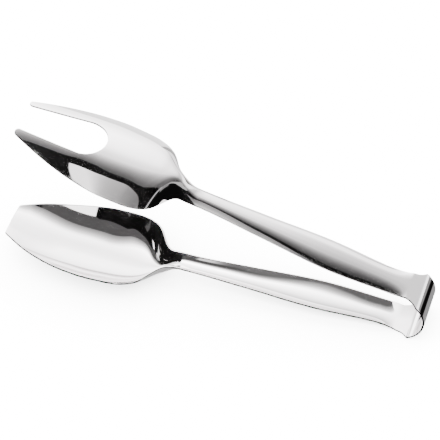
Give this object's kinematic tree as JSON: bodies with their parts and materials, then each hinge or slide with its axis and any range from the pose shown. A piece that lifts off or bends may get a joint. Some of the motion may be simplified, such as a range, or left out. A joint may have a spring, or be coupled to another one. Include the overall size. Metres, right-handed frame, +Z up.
{
  "type": "serving tongs",
  "caption": "Polished steel serving tongs: a slotted fork arm over a spoon arm, both with arched handles, joined by a sprung bow.",
  "frame": {"origin": "on the table, under the middle of the tongs' bounding box", "axes": "+Z up from the table the tongs lie on, +X towards the bow, tips at -X, Y across the arms"},
  "size_m": [0.2144, 0.0498, 0.0891],
  "materials": {
    "steel_bow": "mirror-polished stainless steel",
    "steel_fork": "mirror-polished stainless steel",
    "steel_spoon": "mirror-polished stainless steel"
  },
  "bodies": {
    "spring_bow": {"spring_bow": "steel_bow"},
    "fork_arm": {"fork_arm": "steel_fork"},
    "spoon_arm": {"spoon_arm": "steel_spoon"}
  },
  "joints": [
    {"name": "fork_flex", "type": "hinge", "parent": "spring_bow", "child": "fork_arm", "pos_m": [0.09771, 0, 0.0242], "axis": [0, -1, 0], "range_deg": [0, 10.4], "stiffness_Nm_per_rad": 12},
    {"name": "spoon_flex", "type": "hinge", "parent": "spring_bow", "child": "spoon_arm", "pos_m": [0.09306, 0, 0.00045], "axis": [0, 1, 0], "range_deg": [0, 10.4], "stiffness_Nm_per_rad": 12}
  ],
  "couplings": [
    {"joint": "spoon_flex", "follows": "fork_flex", "ratio": 1}
  ]
}
